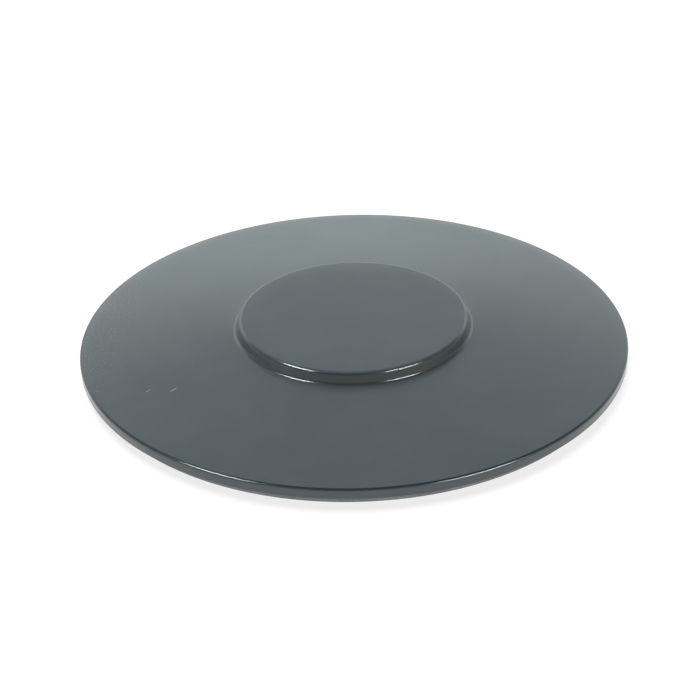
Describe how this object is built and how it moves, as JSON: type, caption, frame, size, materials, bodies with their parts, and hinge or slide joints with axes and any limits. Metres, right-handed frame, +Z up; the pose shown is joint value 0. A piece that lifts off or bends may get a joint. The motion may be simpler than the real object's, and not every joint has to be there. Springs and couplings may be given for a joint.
{
  "type": "manhole cover",
  "caption": "Round sealed manhole cover with a smooth raised flat centre, shallow conical flange and turned-down rim, lifting off a low seating frame.",
  "frame": {"origin": "centre of the seating frame's underside, on the surface the frame beds on", "axes": "+Z up along the cover's axis, the way the cover lifts; X and Y lie in the plane of the opening, with a rib 22.5 degrees from +X"},
  "size_m": [0.68, 0.68, 0.0485],
  "materials": {
    "cover_paint": "glossy dark blue-grey stoved enamel, lightly scratched",
    "underside_primer": "satin dark grey primer over welded steel",
    "frame_zinc": "dull hot-dip galvanised steel",
    "seal_rubber": "matt black EPDM extrusion"
  },
  "bodies": {
    "frame": {"frame_upstand": "frame_zinc", "frame_base_flange": "frame_zinc", "edge_seal": "seal_rubber"},
    "cover": {"cover_plate": "cover_paint", "locating_ring": "underside_primer", "hub_ring": "underside_primer", "hub_plate": "underside_primer", "rib_1": "underside_primer", "rib_2": "underside_primer", "rib_3": "underside_primer", "rib_4": "underside_primer", "rib_5": "underside_primer", "rib_6": "underside_primer", "rib_7": "underside_primer", "rib_8": "underside_primer"}
  },
  "joints": [
    {"name": "cover_lift", "type": "slide", "parent": "frame", "child": "cover", "axis": [0, 0, 1], "range_m": [0, 0.12]}
  ]
}
